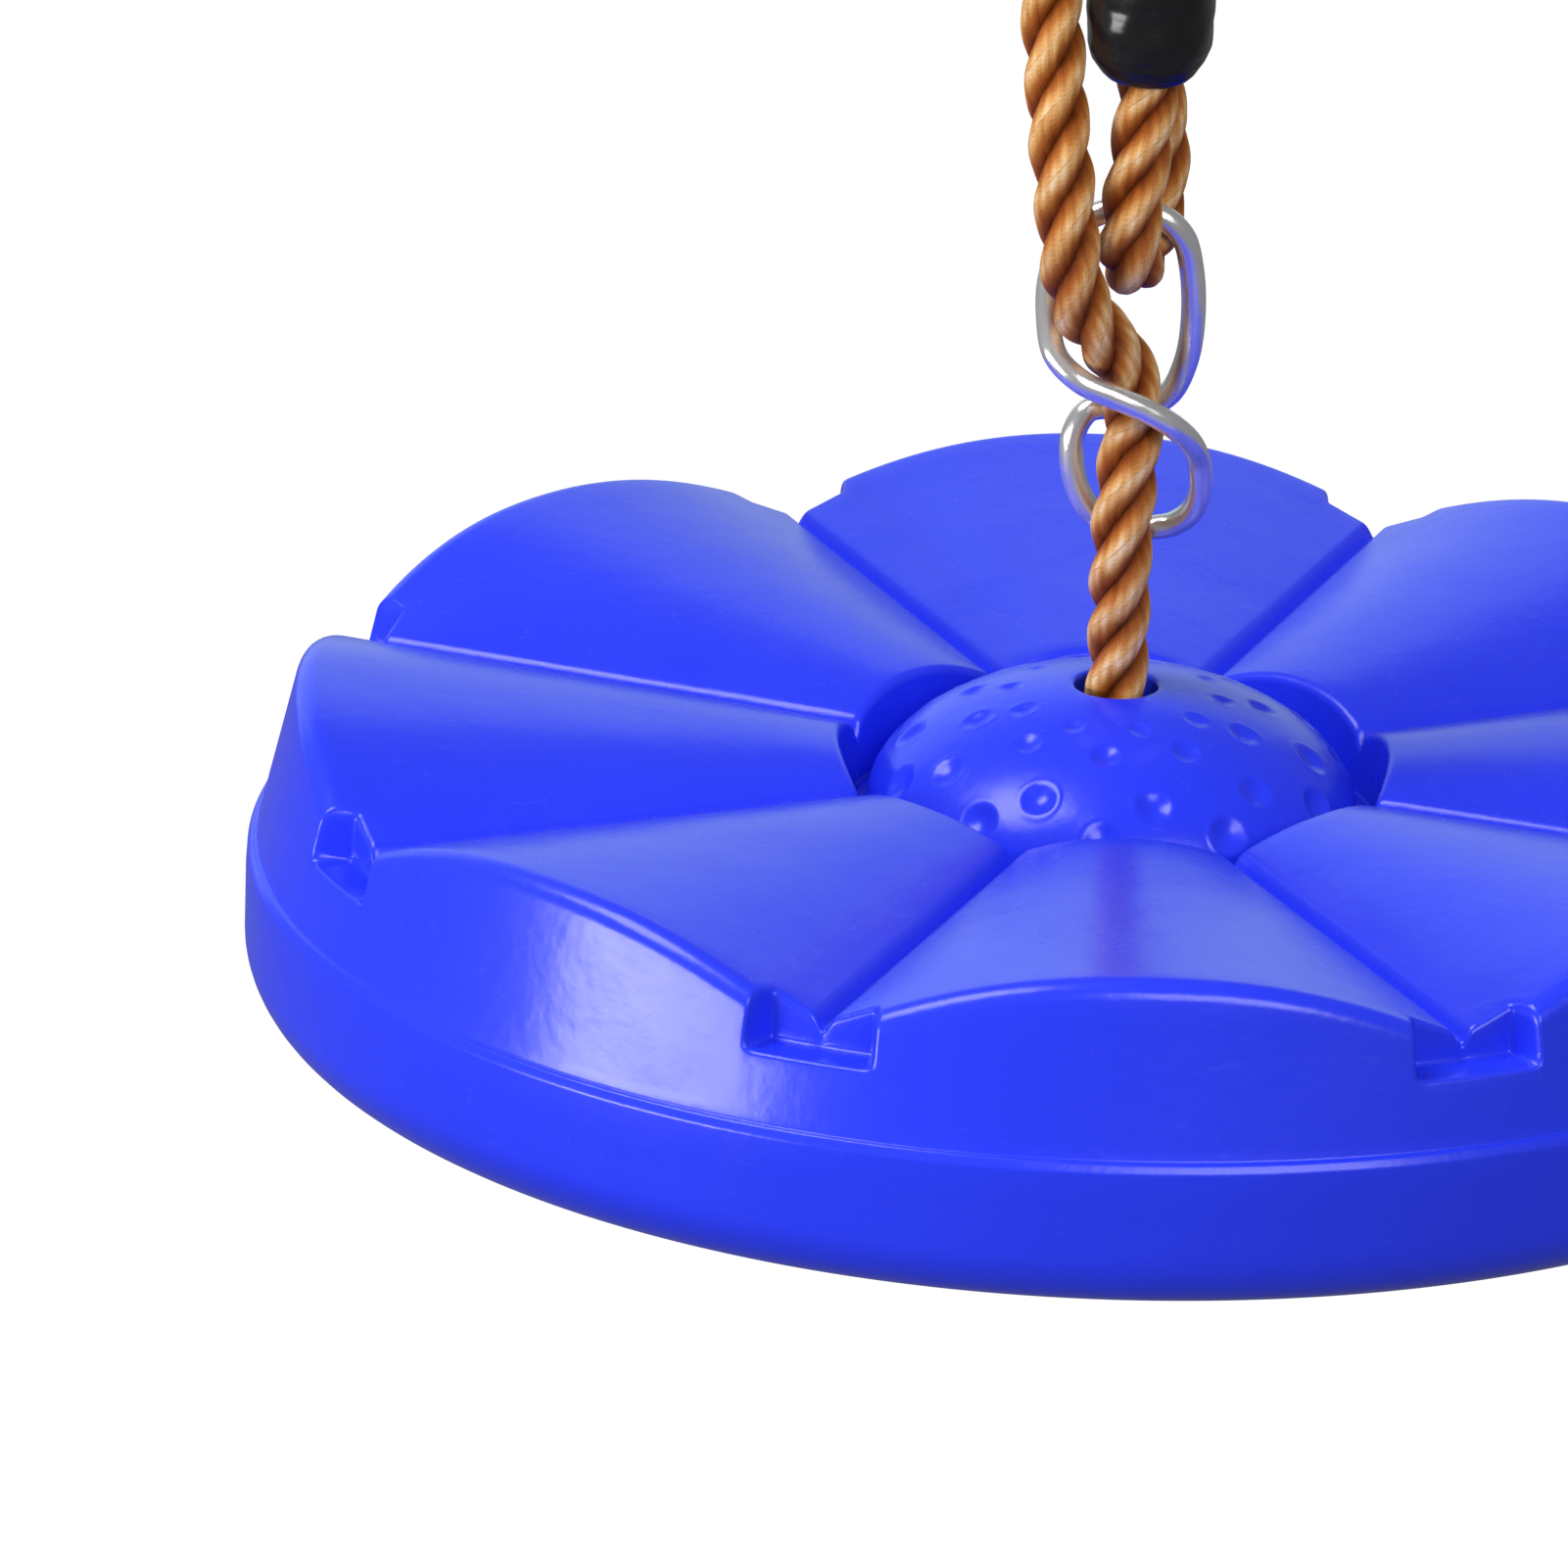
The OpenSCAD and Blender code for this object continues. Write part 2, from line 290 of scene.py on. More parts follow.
def noise(tree, vector, scale, detail=4, rough=0.55, distortion=0.0):
    """A cloud pattern from 0 to 1."""
    return add(
        tree, "ShaderNodeTexNoise", [("Vector", vector)],
        Scale=scale, Detail=detail, Roughness=rough, Distortion=distortion,
    ).outputs["Fac"]


def fill(tree, socket, value):
    """Links an input to a socket, or sets it to a number or a colour."""
    if isinstance(value, bpy.types.NodeSocket):
        tree.links.new(value, socket)
    elif isinstance(value, (int, float)):
        socket.default_value = value
    else:
        socket.default_value = (*value, 1)


def mix_colour(tree, factor, a, b):
    """Colour a where the factor is 0, colour b where it is 1."""
    node = tree.nodes.new("ShaderNodeMix")
    node.data_type = "RGBA"
    for index, value in ((0, factor), (6, a), (7, b)):
        fill(tree, node.inputs[index], value)
    return node.outputs[2]


def maths(tree, operation, *values):
    """A sum on sockets and numbers."""
    node = tree.nodes.new("ShaderNodeMath")
    node.operation = operation
    for socket, value in zip(node.inputs, values):
        fill(tree, socket, value)
    return node.outputs[0]


def spread(tree, pattern, low, span):
    """A pattern from 0 to 1, made to go from low to low + span."""
    return maths(tree, "MULTIPLY_ADD", pattern, span, low)


def feed(tree, shader, name, socket):
    """Links a socket to the shader's input of that name."""
    tree.links.new(socket, shader.inputs[name])


def bump(tree, shader, height, strength, distance, before=None):
    """Fine relief on the shader's normal, on top of the relief before it."""
    links = [("Height", height)] + ([("Normal", before)] if before else [])
    node = add(tree, "ShaderNodeBump", links, Strength=strength, Distance=distance)
    feed(tree, shader, "Normal", node.outputs["Normal"])
    return node.outputs["Normal"]


def seat_material():
    """Blow-moulded polyethylene: saturated blue with fine orange peel and faint dull scuffs."""
    m, tree, shader = new_material("blue_polyethylene", (0.02, 0.05, 0.85), 0.36, specular=0.40)
    where = coordinates(tree)
    cloudy = noise(tree, where, 9, 3)
    mottled = noise(tree, where, 60, 4)
    scuffs = above(tree, noise(tree, coordinates(tree, (1, 1, 2.2)), 130, 6, 0.7, 1.2), 0.60, 0.78)
    base = mix_colour(tree, cloudy, (0.015, 0.036, 0.84), (0.022, 0.048, 0.92))
    base = mix_colour(tree, maths(tree, "MULTIPLY", scuffs, 0.04), base, (0.24, 0.32, 0.90))
    feed(tree, shader, "Base Color", base)
    dull = maths(tree, "MULTIPLY", scuffs, 0.08)
    feed(tree, shader, "Roughness", maths(tree, "ADD", spread(tree, mottled, 0.20, 0.12), dull))
    peel = bump(tree, shader, noise(tree, where, 420, 3, 0.5), 0.10, 0.0006)
    bump(tree, shader, noise(tree, where, 45, 2, 0.4), 0.08, 0.004, peel)
    return m


def rope_material():
    """Twisted hemp-coloured fibre with fine yarns: painted highlights on the strands' crowns and painted
    shade where they meet.
    """
    m, tree, shader = new_material("hemp_strands", (0.5, 0.24, 0.08), 0.55, specular=0.12)
    fibre = carried(tree, "fibre", "Vector")
    # Painted light and shade: the mesh carries each strand's outward facing, bright on its crown and dark
    # where it turns in to its neighbours.
    crown = carried(tree, "crown", "Fac")
    streaks = noise(tree, scaled(tree, fibre, (0.35, 9, 1)), 1.0, 6, 0.65)
    patches = noise(tree, scaled(tree, fibre, (0.16, 0.7, 1)), 1.0, 3)
    # Painted highlight on the strands' crowns.
    on_crowns = maths(tree, "MULTIPLY", crown, 0.86)
    on_yarns = maths(tree, "MULTIPLY", streaks, 0.22)
    worn = maths(tree, "MULTIPLY", maths(tree, "SUBTRACT", patches, 0.5), 0.55)
    lit = maths(tree, "ADD", maths(tree, "ADD", on_crowns, on_yarns), worn)
    # The ramp's dark red-brown stops are painted shade in the crevices and its peach stops painted
    # highlights on the crowns, over the hemp's own colour.
    colour = ramp(tree, lit, [
        (0.20, (0.085, 0.013, 0.001)), (0.46, (0.27, 0.060, 0.006)), (0.68, (0.46, 0.150, 0.026)),
        (0.88, (0.76, 0.40, 0.135)), (1.0, (0.92, 0.66, 0.38)),
    ])
    feed(tree, shader, "Base Color", colour)
    feed(tree, shader, "Roughness", spread(tree, streaks, 0.36, 0.3))
    shader.inputs["Sheen Weight"].default_value = 0.02
    shader.inputs["Sheen Roughness"].default_value = 0.4
    bump(tree, shader, streaks, 0.7, 0.00035)
    return m


def wire_material():
    """Bright drawn and galvanised wire with faint drawing lines and handling marks."""
    m, tree, shader = new_material("galvanised_wire", (0.86, 0.84, 0.83), 0.25, 0.8)
    along = scaled(tree, carried(tree, "fibre", "Vector"), (0.05, 7, 1))
    drawn = noise(tree, along, 1.0, 4, 0.6)
    spots = noise(tree, coordinates(tree), 260, 4, 0.6)
    feed(tree, shader, "Base Color", mix_colour(tree, spots, (0.80, 0.78, 0.77), (0.95, 0.93, 0.91)))
    feed(tree, shader, "Roughness", spread(tree, drawn, 0.10, 0.16))
    bump(tree, shader, drawn, 0.18, 0.0002)
    return m


def zinc_material():
    """Zinc plated steel: faint spangle, satin wear and thin scratches."""
    m, tree, shader = new_material("zinc_plate", (0.62, 0.63, 0.65), 0.34, 1.0)
    where = coordinates(tree)
    spangle = add(tree, "ShaderNodeTexVoronoi", [("Vector", where)], Scale=340).outputs["Distance"]
    cloudy = noise(tree, where, 55, 5, 0.6)
    base = mix_colour(tree, cloudy, (0.44, 0.45, 0.47), (0.72, 0.73, 0.74))
    base = mix_colour(tree, maths(tree, "MULTIPLY", spangle, 0.30), base, (0.30, 0.31, 0.34))
    feed(tree, shader, "Base Color", base)
    feed(tree, shader, "Roughness", spread(tree, cloudy, 0.20, 0.25))
    scratched = noise(tree, coordinates(tree, (14, 14, 1)), 60, 5, 0.7)
    fine = bump(tree, shader, scratched, 0.10, 0.0003)
    bump(tree, shader, spangle, 0.06, 0.0004, fine)
    return m


def alloy_material():
    """Pressed aluminium, dull, with the press's marks."""
    m, tree, shader = new_material("pressed_alloy", (0.6, 0.61, 0.62), 0.45, 1.0)
    grain = noise(tree, coordinates(tree, (1, 1, 0.35)), 160, 5, 0.65)
    feed(tree, shader, "Base Color", mix_colour(tree, grain, (0.42, 0.43, 0.44), (0.70, 0.71, 0.72)))
    feed(tree, shader, "Roughness", spread(tree, grain, 0.30, 0.3))
    bump(tree, shader, grain, 0.3, 0.0004)
    return m


def sleeve_material():
    """Shrunk black sleeve: nearly black, half gloss, slightly wavy, with faint grey rubbing."""
    m, tree, shader = new_material("black_shrink_sleeve", (0.012, 0.011, 0.012), 0.28, specular=0.3)
    where = coordinates(tree)
    worn = above(tree, noise(tree, where, 150, 6, 0.7, 0.8), 0.58, 0.80)
    faint = maths(tree, "MULTIPLY", worn, 0.35)
    feed(tree, shader, "Base Color", mix_colour(tree, faint, (0.010, 0.009, 0.010), (0.055, 0.052, 0.052)))
    feed(tree, shader, "Roughness", spread(tree, worn, 0.22, 0.20))
    wavy = noise(tree, coordinates(tree, (1, 1, 2.5)), 70, 2, 0.4)
    relief = bump(tree, shader, wavy, 0.35, 0.0025)
    bump(tree, shader, noise(tree, where, 900, 2, 0.5), 0.08, 0.0003, relief)
    return m


def nylon_material():
    """Moulded black nylon: satin, fine texture, pale rub marks."""
    m, tree, shader = new_material("black_nylon", (0.02, 0.02, 0.021), 0.42, specular=0.45)
    where = coordinates(tree)
    rubbed = above(tree, noise(tree, where, 110, 6, 0.7, 1.0), 0.56, 0.80)
    faint = maths(tree, "MULTIPLY", rubbed, 0.5)
    feed(tree, shader, "Base Color", mix_colour(tree, faint, (0.014, 0.014, 0.015), (0.075, 0.073, 0.072)))
    feed(tree, shader, "Roughness", spread(tree, rubbed, 0.36, 0.22))
    bump(tree, shader, noise(tree, where, 700, 3, 0.55), 0.22, 0.0004)
    return m


def floor_material():
    """Plain pale studio floor with a barely visible grain, lit a little from below."""
    m, tree, shader = new_material("pale_floor", (0.93, 0.93, 0.93), 0.85, specular=0.1)
    shader.inputs["Emission Color"].default_value = (1, 1, 1, 1)
    shader.inputs["Emission Strength"].default_value = 0.85
    grain = noise(tree, coordinates(tree), 3, 3)
    feed(tree, shader, "Base Color", mix_colour(tree, grain, (0.93, 0.93, 0.93), (0.95, 0.95, 0.95)))
    bump(tree, shader, noise(tree, coordinates(tree), 40, 2), 0.02, 0.002)
    return m


SEAT_PLASTIC = seat_material()
HEMP = rope_material()
WIRE = wire_material()
ZINC = zinc_material()
ALLOY = alloy_material()
SLEEVE = sleeve_material()
NYLON = nylon_material()


def set_material(obj, material):
    """Gives the object one material."""
    obj.data.materials.clear()
    obj.data.materials.append(material)


def finish_piece(obj, material, slot, *nodes):
    """Gives a piece its material and hides the CAD nodes that it replaces. The slot is not used."""
    set_material(obj, material)
    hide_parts(*nodes)


# ---------------------------------------------------------------- rope
# Sizes and routes are in mm, with heights above the seat's underside.

STRANDS = 3
STRAND_AT, STRAND_R = 2.36, 2.74  # how far each strand's middle lies from the rope's, and its own radius
LAY = 30.0  # the length of one full twist
YARNS, YARN_LAY = 9, 17.0
RING_STEP = 0.55
STRAND_SIDES = 54

NECK = [(0, 0, 50), (0, 0, 58), (0, -1, 67)]
THROUGH = [
    (0, -2.5, 76), (0, -2.5, 84), (0.5, -1.5, 92), (1, 0, 98), (0.8, -0.4, 103.5), (-0.8, -1.6, 108.5),
    (-3.2, -4.2, 113), (-6.6, -7.6, 118), (-9, -10, 124), (-10.1, -11.2, 130.5),
]
LEFT = [(-11, -11, 137), (-12.2, -9.8, 147), (-13.6, -6.6, 160), (-15.1, -3.4, 175), (-15.8, -1, 195)]
FLEX_LEFT = [(-16.5, 0, 210), (-17.1, 0, 222), (-17.8, 0, 236)]
GROOVE_R, THIMBLE_H = 18.4, 249.5
BIGHT = [
    (GROOVE_R * math.cos(math.radians(a)), 0, THIMBLE_H + GROOVE_R * math.sin(math.radians(a)))
    for a in np.linspace(183, -15, 17)
]
FLEX_RIGHT = [(15.5, 0, 236), (13.4, 0, 228)]
RIGHT = [(10.2, 0, 216), (8.4, -0.6, 212), (5, -2.4, 204), (2.2, -4.2, 197)]
EYE = [
    (1.2, -5, 192), (1.2, -5, 158), (0.8, -6, 150), (0.1, -7, 142), (-0.5, -7.4, 135.5),
    (-0.8, -6.6, 130.5), (-0.3, -4, 126.8), (0.2, 0, 125.4), (1.6, 4, 126.8), (2.8, 6.8, 130.5),
    (3.4, 7.4, 135.5), (3.4, 7.2, 142), (2.6, 6.2, 150), (1.2, 5, 158), (1.2, 5, 190),
]


def knot_route():
    """The stopper knot and its short tail, from the tail's end up to the rope above it."""
    scale, high, middle, tail_h = 3.35, 4.4, 11.3, 6.4
    loops = []
    for t in np.linspace(0.35, 5 * math.pi / 3 + 0.35, 26):
        x = scale * (math.sin(t) + 2 * math.sin(2 * t))
        y = scale * (math.cos(t) - 2 * math.cos(2 * t))
        loops.append((x, y, middle + high * math.sin(3 * t)))
    last = np.array(loops[-1])
    way = last - np.array(loops[-2])
    way[2] = 0
    way /= np.linalg.norm(way)
    drop = min(0, tail_h - last[2])
    tail = [tuple(last + way * d + np.array((0, 0, drop * min(1, d / 9)))) for d in (5, 9, 13)]
    above = [(0, 0, 44), (0, 0, 38), (0, 0, 31), (0, 0.1, 25), (0.2, -0.6, 19.5)]
    return list(reversed(above + loops + tail))


KNOT = knot_route()
ROUTE = KNOT[:-1] + [(0, 0, 44)] + NECK + THROUGH + LEFT + FLEX_LEFT + BIGHT + FLEX_RIGHT + RIGHT + EYE
ROPE_P, ROPE_S, ROPE_MARKS = smooth_path(ROUTE, RING_STEP)
ROPE_T, ROPE_SIDE, ROPE_UP = carried_frames(ROPE_P)


def mark_of(point):
    """How far along the rope a point of its route lies."""
    return ROPE_MARKS[ROUTE.index(point)]


def strand_mesh(first, last, strand):
    """One twisted strand from ring first to ring last: points, faces, painted crown shading and yarn
    coordinates.
    """
    rings = slice(first, last + 1)
    s = ROPE_S[rings]
    phase = 2 * math.pi * (s / LAY + strand / STRANDS)
    out = np.cos(phase)[:, None] * ROPE_SIDE[rings] + np.sin(phase)[:, None] * ROPE_UP[rings]
    middle = ROPE_P[rings] + STRAND_AT * out
    lean = 2 * math.pi * STRAND_AT / LAY
    tangent = unit_rows(ROPE_T[rings] + lean * np.cross(ROPE_T[rings], out))
    across = np.cross(tangent, out)
    turn = np.linspace(0, 2 * math.pi, STRAND_SIDES, endpoint=False)
    yarn = YARNS * (turn[None, :] + 2 * math.pi * s[:, None] / YARN_LAY + strand)
    ridge = np.abs(np.cos(yarn / 2)) ** 0.8
    wobble = 0.05 * np.sin(s * 0.43 + 2.1 * strand) + 0.04 * np.sin(s * 1.13 + strand)
    r = STRAND_R + wobble[:, None] + 0.09 * (ridge - 0.75)
    points = (
        middle[:, None, :]
        + (r * np.cos(turn))[:, :, None] * out[:, None, :]
        + (r * np.sin(turn))[:, :, None] * across[:, None, :]
    ).reshape(-1, 3)
    rows = len(s)
    # Painted shading: bright where a strand faces outwards, dark where it turns in towards its neighbours,
    # a little brighter on the yarns' ridges.
    crown = np.clip((np.cos(turn)[None, :] * 0.5 + 0.5) ** 2.2 * (0.80 + 0.20 * ridge), 0, 1)
    along = np.repeat(s[:, None], STRAND_SIDES, 1) + 40 * strand
    own = np.full((rows, STRAND_SIDES), 3.7 * strand)
    fibre = np.stack([along, yarn / (2 * math.pi), own], -1)
    return points, capped_faces(rows, STRAND_SIDES), crown.ravel(), fibre.reshape(-1, 3)


def rope_piece(name, start, end):
    """The rope between two points of its route: its mesh, the line that it follows, and its length."""
    numbers = np.arange(len(ROPE_S))
    first, last = (int(round(np.interp(mark_of(p), ROPE_S, numbers))) for p in (start, end))
    points, faces, crown, fibre = [], [], [], []
    count = 0
    for strand in range(STRANDS):
        p, f, c, b = strand_mesh(first, last, strand)
        points.append(p)
        faces += [tuple(i + count for i in q) for q in f]
        crown.append(c)
        fibre.append(b)
        count += len(p)
    # Carries the strands' painted crown shading and their yarn coordinates for the material.
    values = {"crown": np.concatenate(crown), "fibre": np.vstack(fibre)}
    made = make_mesh(name, placed(np.vstack(points)), faces, values)
    path = placed(ROPE_P[first : last + 1])
    return made, path, float(ROPE_S[last] - ROPE_S[first]) * MM


def at_height(height):
    """The point on the seat's axis at a height, in the frame's metres."""
    return placed([(0, 0, height)])[0]


def whole_rope():
    """The one rope, cut into pieces at given points of its route."""
    lower, path, length = rope_piece("rope_lower", NECK[0], LEFT[0])
    finish_piece(lower, HEMP, "hemp_rope", "rope_neck", "rope_through")
    at_height(98)
    at_height(50)
    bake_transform(lower)

    left, path, length = rope_piece("rope_left_strand", LEFT[0], FLEX_LEFT[0])
    finish_piece(left, HEMP, "hemp_rope", "rope_left")
    at_height(137)
    at_height(210)
    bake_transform(left)

    top, path, length = rope_piece("rope_top_loop", FLEX_LEFT[0], RIGHT[0])
    finish_piece(top, HEMP, "hemp_rope", "rope_flex_left", "rope_bight", "rope_flex_right")
    at_height(236)
    at_height(216)
    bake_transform(top)

    eye, path, length = rope_piece("rope_eye_strand", RIGHT[0], EYE[-1])
    finish_piece(eye, HEMP, "hemp_rope", "rope_right", "rope_eye")
    at_height(216)
    at_height(160)
    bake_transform(eye)

    mouth, _, _ = rope_piece("rope_in_mouth", (0, 0, 38), NECK[0])
    finish_piece(mouth, HEMP, "hemp_rope", "rope_mouth")
    at_height(50)
    at_height(38)
    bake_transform(mouth)

    knot, _, _ = rope_piece("rope_stopper_knot", KNOT[0], (0, 0, 38))
    finish_piece(knot, HEMP, "hemp_rope", "rope_knot", "rope_foot")
    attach(knot, "seat")


whole_rope()


# ---------------------------------------------------------------- seat
# Sizes are in mm, with heights above the underside, and turns in degrees.

PETALS, PETAL_TURN = 8, 3.0
HALF = 180 / PETALS  # from a petal's middle to its groove
GROOVE_H, CREST, CROWN_R, CROWN_POWER = 39.6, 12.9, 131.0, 2.2
NOTCH_HALF, NOTCH_R, NOTCH_H = 9.4, 129.0, 36.0
DOME_R, DOME_MID, DOME_RISE, DOME_FOOT_R = 40.0, 32.0, 22.4, 39.75
TRENCH_R, TRENCH_H = 44.0, 30.0
LEDGE_H, SKIRT_TOP, SEAT_R, SHOULDER_R = 25.4, 22.5, 140.0, 138.4
BORE_R, MOUTH_R, POCKET_R, POCKET_H = 6.4, 6.7, 28.0, 24.0
# Each ring's radius, how many dimples it has, its first one's turn, their radius and their depth.
DIMPLE_RINGS = [
    (17.2, 10, 14, 1.9, 0.55), (23.6, 11, -3, 2.4, 0.75),
    (32.8, 11, 12, 2.9, 0.95), (37.0, 11, -2, 3.1, 0.95),
]


def half_petal_turns():
    """Turns from a petal's middle to its groove, close together at the notch's corner and the groove."""
    wide = [np.arange(0, 16.6, 1.0), np.arange(19.4, 21.0, 0.4)]
    close = [np.arange(16.8, 19.4, 0.13), np.arange(21.0, 22.51, 0.15)]
    return np.unique(np.round(np.concatenate([*wide, *close, [HALF]]), 4))


def top_height(radius, turn):
    """Height of a petal's top: straight from the middle out, crowned from groove to groove."""
    rise = CREST * (1 - (abs(turn) / HALF) ** CROWN_POWER)
    return GROOVE_H + radius / CROWN_R * math.sqrt(rise * rise + 1.3 * 1.3)


def dome_height(radius):
    """Height of the dome, before its dimples."""
    return DOME_MID + DOME_RISE * math.sqrt(max(0.0, 1 - (radius / DOME_R) ** 2))


def wall(height):
    """The radius and height of a point on the petals' leaning outer wall."""
    return np.array([SHOULDER_R - 7.0 * (height - LEDGE_H) / 30.1, height])


def seat_profile(turn):
    """The seat's section at one turn from a petal's middle, as a closed line of radius and height."""
    edge = math.degrees(math.asin(NOTCH_HALF / CROWN_R))
    start, width = HALF - edge - 0.55, 1.0
    t = min(1.0, max(0.0, (abs(turn) - start) / width))
    cut = t * t * (3 - 2 * t)
    cut_rim = np.array([NOTCH_R, top_height(NOTCH_R, turn)])
    cut_foot = np.array([NOTCH_R + 0.3, NOTCH_H])
    rim = wall(top_height(wall(46)[0], turn)) * (1 - cut) + cut_rim * cut
    foot = wall(NOTCH_H + 2) * (1 - cut) + cut_foot * cut
    dome_radii = DOME_FOOT_R * np.sin(np.linspace(0.215, 1.545, 60))
    inner = top_height(TRENCH_R, turn)
    corners = [
        ((BORE_R, 30), 0, 1, 3),
        ((BORE_R, 44), 0, 1, 3),
        ((MOUTH_R, dome_height(7.5)), 1.6, 9, 0),
        *[((r, dome_height(r)), 0, 1, 0) for r in dome_radii],
        ((39.9, TRENCH_H), 0.7, 5, 2),
        ((41.2, TRENCH_H), 0, 1, 0),
        ((41.7, TRENCH_H + 0.5), 0, 1, 0),
        ((42.3, TRENCH_H + 0.7), 0, 1, 0),
        ((42.9, TRENCH_H + 0.5), 0, 1, 0),
        ((43.3, TRENCH_H), 0, 1, 0),
        ((TRENCH_R, TRENCH_H), 0.5, 4, 4),
        ((TRENCH_R + 0.3, inner), 1.7, 7, 22),
        (rim, 3.6 * (1 - cut) + 1.3 * cut, 9, 3),
        (foot, 1.0, 5, 2),
        (wall(NOTCH_H), 0.9, 5, 4),
        ((SHOULDER_R, LEDGE_H), 0.9, 5, 1),
        ((SHOULDER_R + 0.7, LEDGE_H - 0.1), 0.5, 3, 0),
        ((SEAT_R - 0.2, SKIRT_TOP + 1.4), 1.6, 6, 0),
        ((SEAT_R, SKIRT_TOP - 2), 0, 1, 2),
        ((SEAT_R, 0.0), 11.0, 14, 9),
        ((POCKET_R, 0.0), 2.0, 6, 5),
        ((POCKET_R, POCKET_H), 1.6, 5, 5),
        ((BORE_R, POCKET_H), 0.9, 4, 2),
    ]
    return rounded_line(corners)


def groove_depths(radius, height, turn):
    """How far the narrow moulded line between two petals lowers each point of their tops."""
    off = radius * np.radians(HALF - np.abs(turn))
    low = np.interp(radius, [60, 110], [TRENCH_H, NOTCH_H])
    share = np.clip((height - low) / (GROOVE_H - low), 0, 1)
    return np.where(radius > TRENCH_R - 0.1, 2.2 * np.exp(-((off / 1.15) ** 2)) * share, 0)


def dimple_depths(points):
    """How deep each point of the dome lies in a dimple."""
    depth = np.zeros(len(points))
    for ring, count, offset, radius, deep in DIMPLE_RINGS:
        for k in range(count):
            a = math.radians(offset + 360 * k / count)
            middle = np.array([ring * math.sin(a), -ring * math.cos(a), dome_height(ring)])
            d = np.linalg.norm(points - middle, axis=1) / radius
            hollow = deep * np.clip(1 - d * d, 0, 1) ** 1.15
            raised_rim = -0.10 * deep * np.sin(np.clip((d - 1) / 0.35, 0, 1) * math.pi)
            bowl = np.where(d < 1, hollow, raised_rim)
            deeper = (d < 1.35) & (np.abs(bowl) > np.abs(depth))
            depth[deeper] = bowl[deeper]
    return depth


def make_seat():
    """The hollow flower seat: one section for each turn, in all eight petals."""
    half = half_petal_turns()
    profiles = [seat_profile(t) for t in half]
    turns, columns = [], []
    for petal in range(PETALS):
        for k in range(len(half) - 1, 0, -1):
            turns.append(petal * 2 * HALF - half[k])
            columns.append(profiles[k])
        for k in range(len(half) - 1):
            turns.append(petal * 2 * HALF + half[k])
            columns.append(profiles[k])
    a = np.radians(np.array(turns) + PETAL_TURN)[None, :]
    grid = np.stack(columns, 1)
    radius, height = grid[:, :, 0], grid[:, :, 1]
    own_turn = (np.array(turns) + HALF) % (2 * HALF) - HALF
    height = height - groove_depths(radius, height, own_turn[None, :])
    points = np.stack([radius * np.sin(a), -radius * np.cos(a), height], -1)
    flat = points.reshape(-1, 3)
    from_axis = np.hypot(flat[:, 0], flat[:, 1])
    on_dome = (from_axis > 8.2) & (from_axis < 39.6) & (flat[:, 2] > 33)
    dome = flat[on_dome]
    normal = unit_rows((dome - (0, 0, DOME_MID)) / np.array([DOME_R, DOME_R, DOME_RISE]) ** 2)
    flat[on_dome] = dome - normal * dimple_depths(dome)[:, None]
    seat = make_mesh("seat_flower", placed(flat), loop_faces(*radius.shape))
    finish_piece(seat, SEAT_PLASTIC, "seat_plastic", "seat_shell")
    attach(seat, "seat")


make_seat()


def make_plug():
    """The button that closes the blow hole, a little proud of the underside."""
    a = math.radians(PETAL_TURN)
    from_axis = 80
    middle = (from_axis * math.sin(a), -from_axis * math.cos(a))
    profile = rounded_line([
        ((0.01, -0.45), 0, 1, 3), ((4.6, -0.35), 0, 1, 1), ((5.2, -0.75), 0, 1, 0),
        ((7.2, -0.7), 0.5, 5, 1), ((7.4, 1.5), 0.2, 3, 1), ((4.4, 1.6), 0.2, 3, 1),
        ((4.4, 5.4), 0.5, 4, 1), ((0.01, 5.4), 0, 1, 3),
    ])
    plug = lathe("blow_hole_button", profile, 64, centre=middle)
    finish_piece(plug, SEAT_PLASTIC, "seat_plastic", "blow_hole_plug")
    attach(plug, "seat")


make_plug()


def make_washer():
    """The steel washer between the knot and the pocket's roof."""
    profile = rounded_line([
        ((5.7, 21.6), 0.3, 4, 1), ((5.7, 23.9), 0.3, 4, 4),
        ((17.0, 23.9), 0.5, 5, 1), ((17.0, 21.6), 0.8, 6, 4),
    ])
    washer = lathe("steel_washer", profile, 96)
    finish_piece(washer, ZINC, "zinc_steel", "washer")
    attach(washer, "seat")


make_washer()


# ---------------------------------------------------------------- adjuster, sleeve, thimble, ring

WIRE_R = 2.0
WIRE_ROUTE = [
    (4.4, 5, 79), (8, 4.5, 80), (11, 3, 82.8), (12.2, 1.4, 87), (11.8, -0.6, 92.4), (10.2, -4, 97),
    (7, -6.9, 100.8), (2.4, -8.1, 103.6), (-2.4, -8.8, 105.8), (-7.4, -9, 108), (-11.8, -6.6, 111.6),
    (-13.2, -2.8, 117), (-13.2, -0.2, 122), (-11.6, 0.4, 127.6), (-8.6, 0, 131.8), (-4.4, 0, 134),
    (0, 0, 134.4), (4.4, -0.2, 133.4), (7.8, 0.2, 130.2), (9.4, 1.4, 124.5), (10, 2.8, 116),
    (9.2, 4.4, 108), (6.6, 6.6, 101.4), (2.4, 8, 98.6), (-2.4, 8, 98.4), (-6.2, 6.8, 98),
    (-8.4, 6.2, 94.4), (-8.6, 5.8, 90), (-7.6, 5.5, 85.4), (-5, 5.2, 81.2), (-1.6, 5, 79),
    (1.4, 5, 78.6),
]


